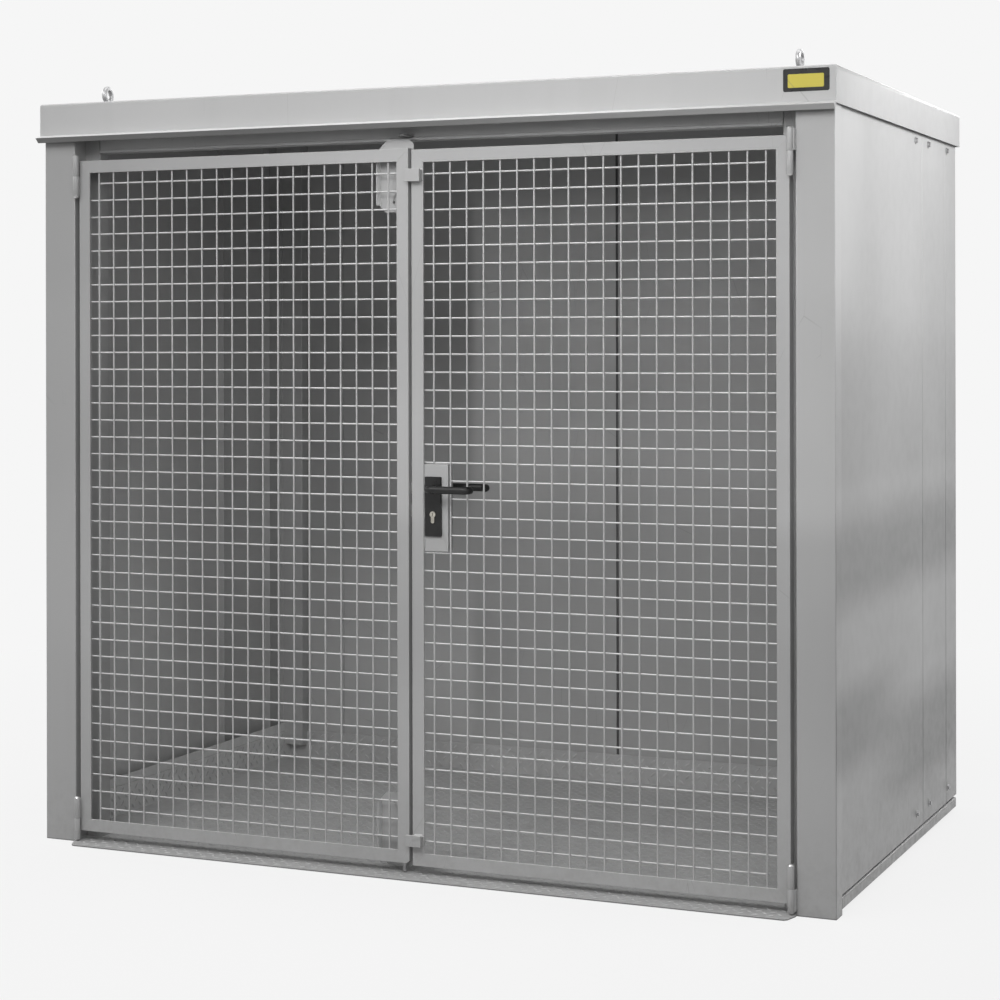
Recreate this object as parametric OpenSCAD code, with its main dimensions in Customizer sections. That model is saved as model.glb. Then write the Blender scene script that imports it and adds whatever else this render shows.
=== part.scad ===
// Walk-in cage for gas cylinders: a folded sheet-steel container that stands on a plate floor,
// with an overhanging roof tray and two welded-mesh door leaves. The right leaf carries a
// mortice lock with lever handles, the left leaf two shoot bolts behind guard plates.
// Every piece is drawn with y = 0 at the front face of the posts and z = 0 on the ground,
// and placed() then moves it so that the middle of the whole depth lies at y = 0.

/* [Body] */
// Width over the front posts
cage_w = 2410; // [2300:10:2600]
// Depth from the front of the posts to the back of the rear wall
cage_d = 1490; // [1400:10:1700]
// Height of the top of the roof
cage_h = 2192; // [2180:2:2220]
// Thickness of the wall and roof sheet
sheet = 3; // [2:0.5:4]
// Depth of the flanges on the wall panels
flange = 25; // [20:1:30]

/* [Posts and rails] */
// Width of a front post
post_w = 105; // [85:5:105]
// Depth of a front post
post_d = 60; // [50:5:60]
// Wall thickness of the front posts
post_wall = 4; // [3:0.5:5]
// Width and depth of the door jambs behind the posts
jamb = [100, 50]; // [80:1:120]
// Underside of the header rail above the door leaves
header_z = 2047; // [2044:1:2060]
// Height of the base side rails above the ground
rail_z = 14; // [8:1:16]
// Size of the base side rails across and upwards
rail = [32, 30]; // [30:1:36]

/* [Floor] */
// Thickness of the floor plate
floor_t = 5; // [4:1:6]
// How far the floor plate reaches in front of the posts
sill = 59; // [40:1:59]
// Height of the upstand along the sides and the back
upstand = 96; // [70:2:110]

/* [Roof] */
// How far the front fascia stands in front of the posts
roof_front = 15; // [10:1:30]
// How far the rear fascia stands behind the rear wall
roof_rear = 14; // [10:1:30]
// How far the side fascias stand outside the posts
roof_side = 7; // [6:1:20]
// Height of the fascia
fascia_h = 99; // [90:1:105]
// How far the gutter under the front fascia reaches forward of it
gutter = 26; // [24:1:32]
// Outer radius of the roof's folded edges
roof_r = 6; // [4:1:8]

/* [Lifting eyes] */
// Outer diameter of the ring
eye_d = 54; // [50:1:60]
// Diameter of the hole
eye_hole = 26; // [24:1:30]
// Thickness of the ring
eye_t = 14; // [10:1:14]

/* [Door leaves] */
// Height of a leaf
leaf_h = 1986; // [1980:2:1992]
// Height of the right leaf above the ground
leaf_z = 30; // [26:1:30]
// How much higher the left leaf hangs
left_lift = 4; // [0:1:4]
// Gap between a leaf and its post
post_gap = 16; // [14:1:18]
// Gap between the two leaves
meeting_gap = 10; // [8:1:10]
// Leg length of the steel angle round a leaf
leg = 36; // [35:1:45]
// Thickness of the steel angle
angle_t = 5; // [4:0.5:5]
// Root radius inside the steel angle
root_r = 6; // [3:1:6]
// Depth of the sloping cut at the lower free corner of the left leaf
corner_cut = 6; // [0:1:20]

/* [Mesh] */
// Diameter of the mesh wires
wire_d = 5; // [4:0.5:5]
// Spacing of the mesh wires
pitch = 50; // [50:1:60]
// How far the wires end inside the outline of a leaf
wire_inset = 20; // [15:1:25]

/* [Hinges] */
// Outer diameter of a hinge barrel
barrel_d = 18; // [16:1:20]
// Length of one of the two knuckles of a barrel
knuckle_h = 60; // [50:1:60]
// Distance of the hinge axis in front of the leaves
axis_y = 12; // [11:1:13]
// Diameter of the hinge pin
pin_d = 10; // [8:1:10]
// Running clearance of a pin, a rod or a turning part, on the radius
fit = 0.05; // [0.03:0.01:0.1]

/* [Lock] */
// Distance from the leaf's free edge to the middle of the lever
backset = 64.5; // [60:0.5:68]
// Height of the lever axis above the ground
lever_z = 1077; // [1060:1:1090]
// Distance from the lever axis down to the middle of the lock cylinder
lock_pitch = 71; // [70:1:74]
// Outline of the lock box across and upwards
box_size = [97, 240]; // [95:1:245]
// Thickness of a lever grip
grip_d = 21; // [18:1:22]
// Distance of the grip in front of the lock box
grip_reach = 54; // [50:1:55]
// How far the latch bolt stands out at rest
latch_out = 12; // [8:1:12]

/* [Shoot bolts] */
// Diameter of the shoot bolt rods
rod_d = 12; // [10:1:12]
// Distance of the rods from the middle of the cage
rod_x = 29; // [27:1:31]
// Distance of the rods behind the front face of the leaf
rod_y = 22; // [22:1:24]
// Size of a guard plate across and upwards
guard = [106, 205]; // [100:1:210]
// How far the upper and the lower guard plate reach past the end of the leaf
guard_over = [30, 18]; // [14:1:30]

/* [Hidden] */

paint = "lightgray";
paint_dark = "darkgray";
zinc = "silver";
steel = "gainsboro";
black = "dimgray";
brass = "khaki";

half_w = cage_w / 2;
door_half = half_w - post_w;
leaf_w = door_half - post_gap - meeting_gap / 2;
free_x = meeting_gap / 2;
hinge_x = door_half - (post_gap - 4);
roof_z = cage_h - sheet;
lever_front = angle_t - grip_reach - grip_d / 2;
mid_y = (cage_d + roof_rear + lever_front) / 2;

// Wall panels: the outer face of the side walls, the inner face of their flanges, the seams,
// the depth and the front face of the rear posts
wall_x = half_w - 3;
flange_x = wall_x - flange;
wall_z = 50;
seam_front = cage_d - 476;
seam_rear = cage_d - 155;
post_rear_d = 60;
post_rear_y = cage_d - post_rear_d;
back_seams = [-957, 72];
back_t = 20;

// Mesh: number of wires and the place of the first one, so that the mesh sits centrally
across_n = floor((leaf_w - 2 * (leg + wire_inset)) / pitch);
up_n = floor((leaf_h - 2 * (leg + wire_inset)) / pitch);
first_u = (leaf_w - across_n * pitch) / 2;
first_w = (leaf_h - up_n * pitch) / 2;
front_wire_y = angle_t + wire_d / 2;
rear_wire_y = front_wire_y + wire_d;
mesh_back = rear_wire_y + wire_d / 2;

// Lock: places measured from the right leaf's own corner
box_u = angle_t + root_r;
box_y = [angle_t, 38];
box_z = lever_z - leaf_z - 173;
box_wall = 3;
case_y = [14, 29];
bolt_y = [16, 27];
case_u = [angle_t, box_u + box_size[0] - box_wall];
cylinder_z = lever_z - lock_pitch;
plate_z = [945, 1110];
plate_w = 49;
plate_t = 8;
neck_d = 18;
spindle_a = 8;
spindle_end = 28;
follower_d = 20;
latch_z = [lever_z - 14, lever_z + 14];
dead_z = [cylinder_z - 5, cylinder_z + 23];
latch_tail = 42;
dead_tail = 40;
slot_play = 3;
plug_d = 13;
cam_y = [19, 24];
cam_r = 14;

// Shoot bolts: heights of the rod ends, the guides and the knobs, measured from the ground
left_z = leaf_z + left_lift;
left_top = left_z + leaf_h;
top_rod = [left_top - 200, left_top - 2];
bottom_rod = [8, left_z + 163];
top_knob_z = left_top - 120;
bottom_knob_z = left_z + 90;
guide_h = 15;
top_rise = 50;
bottom_drop = 7;
bottom_rise = 15;
rod_hole = 14;

module placed() {
    translate([0, -mid_y, 0]) children();
}

module opposite() {
    mirror([1, 0, 0]) children();
}

// Rectangle with rounded corners, from the origin to [w, d]
module rounded_rectangle(w, d, r) {
    translate([r, 0]) square([w - 2 * r, d]);
    translate([0, r]) square([w, d - 2 * r]);
    for (x = [r, w - r], y = [r, d - r]) translate([x, y]) circle(r, $fn = 32);
}

// Section of a hollow steel tube from the origin to [w, d]
module tube_section(w, d, wall, r) {
    difference() {
        rounded_rectangle(w, d, r);
        translate([wall, wall]) rounded_rectangle(w - 2 * wall, d - 2 * wall, r - wall / 2);
    }
}

// Extrudes a section drawn in y and z along x, from x = 0
module along_x(length) {
    rotate([90, 0, 90]) linear_extrude(length) children();
}

// Extrudes a section drawn in x and z along y, from y = 0
module along_y(length) {
    translate([0, length, 0]) rotate([90, 0, 0]) linear_extrude(length) children();
}

// A round bar along x or along y
module bar_x(d, length) {
    rotate([0, 90, 0]) cylinder(d = d, h = length, $fn = 32);
}

module bar_y(d, length) {
    rotate([-90, 0, 0]) cylinder(d = d, h = length, $fn = 48);
}

// Floor: a plate that reaches out between the posts as a sill with tapered ends, folded up at
// both sides and the back, and higher between the rear posts than below them. The bottom shoot
// bolt drops into a hole in the sill.
module floor_plate() {
    inner_x = flange_x - 4;
    corner = 8;
    left_x = 18 - door_half;
    right_x = door_half - 10;
    rear_y = cage_d - 24;
    color(paint_dark) placed() {
        difference() {
            linear_extrude(floor_t) {
                translate([-inner_x, post_d]) square([2 * inner_x, rear_y - post_d]);
                polygon([
                    [-door_half, post_d], [-door_half, -10], [left_x, corner - sill],
                    [left_x + corner, -sill], [right_x - corner, -sill],
                    [right_x, corner - sill], [door_half, -10], [door_half, post_d]
                ]);
            }
            translate([-rod_x, rod_y, -1]) cylinder(d = rod_hole, h = floor_t + 2, $fn = 32);
        }
        for (side = [0, 1]) mirror([side, 0, 0])
            translate([inner_x - floor_t, post_d + jamb[1], floor_t]) {
                cube([floor_t, rear_y - post_d - jamb[1], wall_z - floor_t]);
                cube([floor_t, post_rear_y - post_d - jamb[1], upstand - floor_t]);
            }
        translate([-inner_x, rear_y - floor_t, floor_t])
            cube([2 * inner_x, floor_t, wall_z - floor_t]);
        translate([-door_half, rear_y - floor_t, floor_t])
            cube([2 * door_half, floor_t, upstand - floor_t]);
    }
}

// Base rail under a side wall: a hollow tube outside, with a web that the wall is bolted to
// and that ends at the rear post
module base_rail() {
    web = 4;
    web_z = 125;
    color(paint) placed() translate([flange_x - web, post_d, rail_z]) {
        along_y(cage_d - 24 - post_d) tube_section(rail[0], rail[1], 3, 3);
        translate([0, 0, rail[1]]) cube([web, post_rear_y - post_d, web_z - rail_z - rail[1]]);
    }
}

module base_rail_right() {
    base_rail();
}

module base_rail_left() {
    opposite() base_rail();
}

// Rear base rail, shorter than the cage so that the rear corners stay open below the posts
module base_rail_rear() {
    length = 2 * (half_w - 50);
    color(paint) placed()
        translate([-length / 2, cage_d - 24, rail_z])
            along_x(length) tube_section(24, wall_z - rail_z, 3, 3);
}

// Front posts, which are the front feet
module front_post() {
    color(paint) placed()
        translate([door_half, 0, 0])
            linear_extrude(roof_z) tube_section(post_w, post_d, post_wall, 3);
}

module front_post_right() {
    front_post();
}

module front_post_left() {
    opposite() front_post();
}

// Jambs behind the posts, which narrow the doorway so that the leaves close against them
module jamb_tube() {
    color(paint) placed()
        translate([door_half - jamb[0] / 2, post_d, floor_t])
            linear_extrude(roof_z - floor_t) tube_section(jamb[0], jamb[1], 3, 4);
}

module jamb_right() {
    jamb_tube();
}

module jamb_left() {
    opposite() jamb_tube();
}

// Header above the leaves: a folded channel with a narrow lip along its lower front edge
module header_rail() {
    length = 2 * (door_half - jamb[0] / 2);
    lip = [4, 8];
    color(paint) placed()
        translate([-length / 2, post_d, header_z]) along_x(length) {
            square([sheet, roof_z - header_z]);
            square([jamb[1], sheet]);
            translate([jamb[1] - sheet, 0]) square([sheet, flange]);
            translate([0, roof_z - header_z - sheet]) square([jamb[1], sheet]);
            translate([-lip[0], 0]) square([lip[0], lip[1]]);
        }
}

// Tongue on the header, just above its lip, that the top shoot bolt rises into
module bolt_keep() {
    tongue = [26, 6];
    keep_z = header_z + 9;
    color(paint) placed()
        difference() {
            translate([-rod_x - tongue[0] / 2, 0, keep_z])
                linear_extrude(tongue[1]) {
                    translate([0, rod_y]) square([tongue[0], post_d - rod_y]);
                    translate([tongue[0] / 2, rod_y]) circle(d = tongue[0], $fn = 48);
                }
            translate([-rod_x, rod_y, keep_z - 1])
                cylinder(d = rod_hole, h = tongue[1] + 2, $fn = 32);
        }
}

// Rear corner post: a folded box that also closes the end of the side wall
module rear_post() {
    inside = door_half;
    depth = cage_d - seam_rear;
    r = 5;
    color(paint) placed()
        translate([0, seam_rear, wall_z]) linear_extrude(roof_z - wall_z) {
            difference() {
                union() {
                    translate([inside, depth - post_rear_d])
                        rounded_rectangle(wall_x - inside, post_rear_d, r);
                    translate([flange_x, 0]) rounded_rectangle(flange, depth - r, r);
                }
                translate([inside + sheet, depth - post_rear_d + sheet])
                    rounded_rectangle(wall_x - inside - 2 * sheet, post_rear_d - 2 * sheet, r / 2);
                translate([flange_x - 1, sheet])
                    square([flange - sheet + 1, depth - post_rear_d - 2 * sheet]);
            }
        }
}

module rear_post_right() {
    rear_post();
}

module rear_post_left() {
    opposite() rear_post();
}

// Wall panel: a sheet of the given length and height with a folded flange along each edge.
// It stands upright along x, its outer face at y = 0 and its flanges towards +y.
module panel(length, height, depth) {
    r = 4;
    linear_extrude(height) difference() {
        union() {
            rounded_rectangle(length, depth - 1, r);
            translate([0, depth / 2]) square([length, depth / 2]);
        }
        translate([sheet, sheet]) square([length - 2 * sheet, depth]);
    }
    for (z = [0, height - sheet]) translate([sheet, sheet, z])
        cube([length - 2 * sheet, depth - sheet, sheet]);
}

module side_wall(y0, y1) {
    color(paint) placed()
        translate([wall_x, y0, wall_z]) rotate([0, 0, 90])
            panel(y1 - y0, roof_z - wall_z, flange);
}

module wall_right_front() {
    side_wall(post_d, seam_front);
}

module wall_right_rear() {
    side_wall(seam_front, seam_rear);
}

module wall_left_front() {
    opposite() side_wall(post_d, seam_front);
}

module wall_left_rear() {
    opposite() side_wall(seam_front, seam_rear);
}

// Back panels: their smooth face is inside the cage and their flanges point to the rear
module back_panel(x0, x1) {
    color(paint_dark) placed()
        translate([x0, cage_d - back_t, wall_z]) panel(x1 - x0, roof_z - wall_z, back_t);
}

module back_panel_left() {
    back_panel(-door_half, back_seams[0]);
}

module back_panel_middle() {
    back_panel(back_seams[0], back_seams[1]);
}

module back_panel_right() {
    back_panel(back_seams[1], door_half);
}

// Bolts that hold the side walls, three near the top and three near the base of each wall
module wall_bolts() {
    head = 14;
    washer = 22;
    color(zinc) placed()
        for (side = [0, 1], y = [seam_front - 85, seam_front + 82, seam_rear + 21], z = [95, 2070])
            mirror([side, 0, 0]) translate([wall_x, y, z]) {
                bar_x(washer, 2);
                translate([2, 0, 0]) rotate([0, 90, 0]) cylinder(d = head, h = 5, $fn = 6);
            }
}

// Roof tray: a flat sheet with a folded fascia all round. Outer and inner block are each the
// overlap of a profile seen from the side and one seen from the front, so the corners mitre.
module roof_block(inset, base) {
    x = half_w + roof_side - inset;
    depth = cage_d + roof_rear + roof_front - 2 * inset;
    top = cage_h - inset;
    r = roof_r - inset / 2;
    intersection() {
        translate([-x, inset - roof_front, 0]) along_x(2 * x) {
            translate([0, base]) square([depth, top - r - base]);
            translate([r, base]) square([depth - 2 * r, top - base]);
            for (y = [r, depth - r]) translate([y, top - r]) circle(r, $fn = 32);
        }
        translate([0, inset - roof_front - 1, 0]) along_y(depth + 2) {
            translate([-x, base]) square([2 * x, top - r - base]);
            translate([r - x, base]) square([2 * (x - r), top - base]);
            for (side = [-1, 1]) translate([side * (x - r), top - r]) circle(r, $fn = 32);
        }
    }
}

// The lower edge of the front fascia is folded out and then down and back into a drip rim with
// closed ends
module drip_rim(length) {
    drop = 17;
    nose = -3;
    back = -6;
    root = sheet / 2;
    outer = [[root, root + 4], [-gutter, nose], [14 - gutter, -drop], [back, -drop]];
    inner = [
        [back, sheet - drop], [15 - gutter, sheet - drop], [6 - gutter, nose - 2], [root, root]
    ];
    along_x(length) polygon(concat(outer, inner));
    for (x = [0, length - sheet]) translate([x, 0, 0])
        along_x(sheet) polygon(concat(outer, [[root, root]]));
}

module roof_tray() {
    base = cage_h - fascia_h;
    length = 2 * (half_w + roof_side);
    color(paint) placed() {
        difference() {
            roof_block(0, base);
            roof_block(sheet, base - 1);
        }
        translate([-length / 2, -roof_front, base]) drip_rim(length);
    }
}

// Lifting eyes: rings welded upright on pads near the four corners of the roof. The ring is
// turned from a rounded section with a flat land in the hole.
module lifting_eyes() {
    land = 6;
    pad = [44, 60, 9];
    ring_z = cage_h + pad[2] + eye_d / 2;
    color(zinc) placed()
        for (side = [0, 1], y = [140, cage_d - 140])
            mirror([side, 0, 0]) translate([1074, y, 0]) {
                difference() {
                    translate([0, 0, ring_z]) rotate([0, 90, 0]) rotate_extrude($fn = 64)
                        polygon(concat(
                            [[eye_hole / 2, -land / 2], [eye_hole / 2 + 2, -eye_t / 2]],
                            [for (a = [-90:15:90])
                                [eye_d / 2 - eye_t / 2 + eye_t / 2 * cos(a), eye_t / 2 * sin(a)]],
                            [[eye_hole / 2 + 2, eye_t / 2], [eye_hole / 2, land / 2]]
                        ));
                    translate([-eye_t, -eye_d, cage_h]) cube([2 * eye_t, 2 * eye_d, pad[2]]);
                }
                translate([-pad[0] / 2, -pad[1] / 2, cage_h]) linear_extrude(pad[2])
                    rounded_rectangle(pad[0], pad[1], 8);
                for (tilt = [-1, 1]) translate([-eye_t / 2, tilt * 12 - 5, cage_h + pad[2]])
                    cube([eye_t, 10, 5]);
            }
}

// Section of the steel angle, its outer corner at the origin
module angle_section() {
    square([leg, angle_t]);
    square([angle_t, leg]);
    translate([angle_t, angle_t]) difference() {
        square(root_r);
        translate([root_r, root_r]) circle(root_r, $fn = 32);
    }
}

// A bar of steel angle along z with both ends mitred for a picture-frame corner
module mitred_angle(length) {
    intersection() {
        linear_extrude(length) angle_section();
        translate([0, -1, 0]) along_y(leg + 2)
            polygon([[0, 0], [leg, leg], [leg, length - leg], [0, length]]);
    }
}

// Moves a leaf drawn from its own free lower corner, with u along x, into the doorway
module in_right_leaf() {
    placed() translate([free_x, 0, leaf_z]) children();
}

module in_left_leaf() {
    opposite() placed() translate([free_x, 0, left_z]) children();
}

module frame_hinge_stile() {
    translate([leaf_w, 0, 0]) mirror([1, 0, 0]) mitred_angle(leaf_h);
}

module frame_bottom_rail() {
    mirror([1, 0, -1]) mitred_angle(leaf_w);
}

module frame_top_rail() {
    translate([0, 0, leaf_h]) mirror([0, 0, 1]) frame_bottom_rail();
}

// Sloping cut at the lower free corner of the left leaf
module corner_wedge() {
    rotate([0, 45, 0])
        translate([-corner_cut, -1, -corner_cut]) cube([2 * corner_cut, leg + 2, 2 * corner_cut]);
}

// The lock's free stile has one opening for the latch bolt and one for the dead bolt
module right_free_stile() {
    play = 0.5;
    color(paint) in_right_leaf() difference() {
        mitred_angle(leaf_h);
        for (z = [latch_z, dead_z])
            translate([-1, bolt_y[0] - play, z[0] - leaf_z - play])
                cube([angle_t + 2, bolt_y[1] - bolt_y[0] + 2 * play, z[1] - z[0] + 2 * play]);
    }
}

module right_hinge_stile() {
    color(paint) in_right_leaf() frame_hinge_stile();
}

module right_bottom_rail() {
    color(paint) in_right_leaf() frame_bottom_rail();
}

module right_top_rail() {
    color(paint) in_right_leaf() frame_top_rail();
}

// The left leaf's free stile is the strike: it has longer openings for the same two bolts
module left_free_stile() {
    color(paint) in_left_leaf() difference() {
        mitred_angle(leaf_h);
        for (z = [latch_z, dead_z])
            translate([-1, bolt_y[0] - slot_play, z[0] - left_z - slot_play])
                cube([
                    angle_t + 2,
                    bolt_y[1] - bolt_y[0] + 2 * slot_play,
                    z[1] - z[0] + 2 * slot_play
                ]);
        corner_wedge();
    }
}

module left_hinge_stile() {
    color(paint) in_left_leaf() frame_hinge_stile();
}

module rod_opening() {
    translate([rod_x - free_x, rod_y, -1]) cylinder(d = rod_hole, h = angle_t + 2, $fn = 32);
}

module left_bottom_rail() {
    color(paint) in_left_leaf() difference() {
        frame_bottom_rail();
        corner_wedge();
        rod_opening();
    }
}

module left_top_rail() {
    color(paint) in_left_leaf() difference() {
        frame_top_rail();
        translate([0, 0, leaf_h - angle_t]) rod_opening();
    }
}

// Welded mesh: upright wires against the frame's front leg and level wires behind them. The
// first and last level wires stop at the upright nearest the hinges, and a mesh with a lock
// is cut out round the lock box.
module leaf_mesh(cut) {
    last_u = first_u + across_n * pitch;
    for (i = [0:across_n]) translate([first_u + i * pitch, front_wire_y, 0]) {
        if (i == 0 && cut[1] > 0) {
            translate([0, 0, wire_inset]) cylinder(d = wire_d, h = cut[0] - wire_inset, $fn = 24);
            translate([0, 0, cut[1]])
                cylinder(d = wire_d, h = leaf_h - wire_inset - cut[1], $fn = 24);
        } else {
            translate([0, 0, wire_inset])
                cylinder(d = wire_d, h = leaf_h - 2 * wire_inset, $fn = 24);
        }
    }
    for (k = [0:up_n]) let (
        z = first_w + k * pitch,
        in_cut = z > cut[0] && z < cut[1],
        start = in_cut ? first_u + pitch - wire_d / 2 : wire_inset,
        end = k == 0 || k == up_n ? last_u + wire_d / 2 : leaf_w - wire_inset
    ) translate([start, rear_wire_y, z]) bar_x(wire_d, end - start);
}

module right_mesh() {
    color(zinc) in_right_leaf() leaf_mesh([box_z - 4, box_z + box_size[1] + 4]);
}

module left_mesh() {
    color(zinc) in_left_leaf() leaf_mesh([0, 0]);
}

// Hinge knuckle: half of a weld-on barrel standing on z = 0. Its web lies in the gap and runs
// back along the side face of the post (towards +x) or, mirrored, along that of the leaf.
module knuckle(side, bore) {
    gap = 0.2;
    web_end = 2;
    web_t = 3;
    web_back = axis_y + 26;
    difference() {
        union() {
            translate([0, 0, gap]) cylinder(d = barrel_d, h = knuckle_h - 2 * gap, $fn = 48);
            translate([0, 0, gap + web_end])
                linear_extrude(knuckle_h - 2 * (gap + web_end)) polygon([
                    [-1, -2], [side, 2], [side, web_back], [side - web_t, web_back],
                    [side - web_t, 6], [-1, 6]
                ]);
        }
        translate([0, 0, -1]) cylinder(d = bore, h = knuckle_h + 2, $fn = 48);
    }
}

// Rounded cap on the end of a barrel
module knuckle_cap() {
    rise = 6;
    rotate_extrude($fn = 48) intersection() {
        translate([0, rise - (barrel_d * barrel_d / 4 + rise * rise) / (2 * rise)])
            circle((barrel_d * barrel_d / 4 + rise * rise) / (2 * rise), $fn = 64);
        square([barrel_d / 2, rise]);
    }
}

// Heights of the joint between the two knuckles of the top and of the bottom hinge
function hinge_joint(z) = z ? leaf_z + leaf_h - 42 : 72;

module at_hinges(side) {
    mirror([side, 0, 0]) for (top = [false, true])
        translate([hinge_x, -axis_y, hinge_joint(top)]) rotate([0, top ? 0 : 180, 0])
            children();
}

// The post carries the outer knuckle of each barrel, with the pin pressed into it
module post_knuckles() {
    color(paint) placed() for (side = [0, 1], top = [false, true])
        mirror([side, 0, 0])
            translate([hinge_x, -axis_y, hinge_joint(top) - (top ? 0 : knuckle_h)])
                knuckle(door_half - hinge_x, pin_d);
}

module hinge_pins() {
    length = 2 * knuckle_h - 5;
    color(steel) placed() for (side = [0, 1]) at_hinges(side) {
        translate([0, 0, knuckle_h - length]) cylinder(d = pin_d, h = length, $fn = 48);
        translate([0, 0, knuckle_h]) knuckle_cap();
    }
}

module leaf_knuckles() {
    for (top = [false, true])
        translate([hinge_x, -axis_y, hinge_joint(top) - (top ? knuckle_h : 0)])
            mirror([1, 0, 0]) knuckle(hinge_x - door_half + post_gap, pin_d + 2 * fit);
}

module leaf_caps() {
    at_hinges(0) translate([0, 0, -knuckle_h + 0.2]) mirror([0, 0, 1]) knuckle_cap();
}

module right_knuckles() {
    color(paint) placed() leaf_knuckles();
}

module left_knuckles() {
    color(paint) opposite() placed() leaf_knuckles();
}

module right_knuckle_caps() {
    color(steel) placed() leaf_caps();
}

module left_knuckle_caps() {
    color(steel) opposite() placed() leaf_caps();
}

// Tabs welded to the right leaf on packers, which lap over the front of the left leaf
module stop_tabs() {
    tab = [46, 8];
    packer = [30, 12];
    color(paint) in_right_leaf()
        for (z = [[56, 31], [leaf_h - 89, 35]]) {
            translate([-13, -packer[1] - tab[1], z[0]]) cube([tab[0], tab[1], z[1]]);
            translate([4, -packer[1], z[0] + 3]) cube([packer[0], packer[1], z[1] - 6]);
        }
}

// Guard plates behind the shoot bolts, drawn upwards from the end away from the rail: cut
// corners, the far edge folded forward on to the mesh as far as the rail, a slot for the
// knob's stem, which moves between the two heights given, and one small hole
module guard_plate(over, stem_low, stem_high) {
    cut = 25;
    free_cut = 15;
    low_cut = 20;
    slot = 12;
    hole = [66, 28, 8];
    fold_y = leg - mesh_back;
    fold_top = guard[1] - max(cut, over + angle_t);
    difference() {
        translate([0, leg, 0]) along_y(sheet) polygon([
            [0, 0], [0, guard[1] - free_cut], [free_cut, guard[1]], [guard[0] - cut, guard[1]],
            [guard[0], guard[1] - cut], [guard[0], low_cut], [guard[0] - low_cut, 0]
        ]);
        for (z = [stem_low, stem_high])
            translate([rod_x - free_x, leg - 1, z]) bar_y(slot, sheet + 2);
        translate([rod_x - free_x - slot / 2, leg - 1, stem_low])
            cube([slot, sheet + 2, stem_high - stem_low]);
        translate([hole[0] - free_x, leg - 1, hole[1]]) bar_y(hole[2], sheet + 2);
    }
    translate([guard[0] - sheet, mesh_back, low_cut])
        cube([sheet, fold_y, fold_top - low_cut]);
}

module bolt_guards() {
    top_base = leaf_h + guard_over[0] - guard[1];
    bottom_base = guard[1] - guard_over[1];
    top_stem = top_knob_z - left_z - top_base;
    bottom_stem = bottom_base - bottom_knob_z + left_z;
    color(paint_dark) in_left_leaf() {
        translate([0, 0, top_base])
            guard_plate(guard_over[0], top_stem, top_stem + top_rise);
        translate([0, 0, bottom_base]) mirror([0, 0, 1])
            guard_plate(guard_over[1], bottom_stem - bottom_rise, bottom_stem + bottom_drop);
    }
}

// Guides inside the free stile that the two rods slide in
module bolt_guides() {
    block = [20, rod_y + 11];
    heights = [top_rod[0] + top_rise + 3, top_rod[1] - 40, bottom_rod[1] - 23, left_z + 30];
    color(paint_dark) in_left_leaf()
        for (z = heights) translate([rod_x - free_x, 0, z - left_z]) difference() {
            translate([-block[0] / 2, angle_t, 0]) cube([block[0], block[1] - angle_t, guide_h]);
            translate([0, rod_y, -1]) cylinder(d = rod_d + 2 * fit, h = guide_h + 2, $fn = 48);
        }
}

// Shoot bolt: a rod with a chamfered tip and a knob on a stem behind it
module shoot_bolt(z0, z1, knob_z, tip) {
    stem_d = 10;
    taper = 2;
    knob_y = leg - rod_y + 8;
    color(zinc) opposite() placed() translate([rod_x, rod_y, 0]) {
        translate([0, 0, tip > 0 ? z0 : z1]) mirror([0, 0, tip > 0 ? 0 : 1]) {
            cylinder(d = rod_d, h = z1 - z0 - taper, $fn = 48);
            translate([0, 0, z1 - z0 - taper])
                cylinder(d1 = rod_d, d2 = rod_d - 2 * taper, h = taper, $fn = 48);
        }
        translate([0, 0, knob_z]) {
            bar_y(stem_d, knob_y + 2);
            translate([0, knob_y, 0]) rotate([-90, 0, 0]) rotate_extrude($fn = 48)
                polygon([[0, 0], [8, 0], [12, 4], [12, 12], [9, 16], [0, 16]]);
        }
    }
}

module top_bolt() {
    shoot_bolt(top_rod[0], top_rod[1], top_knob_z, 1);
}

module bottom_bolt() {
    shoot_bolt(bottom_rod[0], bottom_rod[1], bottom_knob_z, -1);
}

// Outline of the lock cylinder in x and z, its round part on the origin
module cylinder_outline(grow) {
    round_d = 17;
    stem_w = 10;
    circle(d = round_d + 2 * grow, $fn = 48);
    translate([-stem_w / 2 - grow, -19.5 - grow]) square([stem_w + 2 * grow, 19.5 + grow]);
    translate([0, -19.5 - grow]) circle(d = stem_w + 2 * grow, $fn = 32);
}

module at_lever() {
    translate([backset, 0, lever_z - leaf_z]) children();
}

module at_cylinder() {
    translate([backset, 0, cylinder_z - leaf_z]) children();
}

// Lock box: a folded sheet shell welded behind the free stile, pierced for lever and cylinder
module lock_box() {
    color(paint) in_right_leaf() difference() {
        translate([box_u, box_y[0], box_z]) cube([box_size[0], box_y[1] - box_y[0], box_size[1]]);
        translate([box_u - 1, box_y[0] + box_wall, box_z + box_wall])
            cube([
                box_size[0] - box_wall + 1,
                box_y[1] - box_y[0] - 2 * box_wall,
                box_size[1] - 2 * box_wall
            ]);
        at_lever() bar_y(follower_d, box_y[1] + 1);
        at_cylinder() along_y(box_y[1] + 1) cylinder_outline(0);
    }
}

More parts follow.
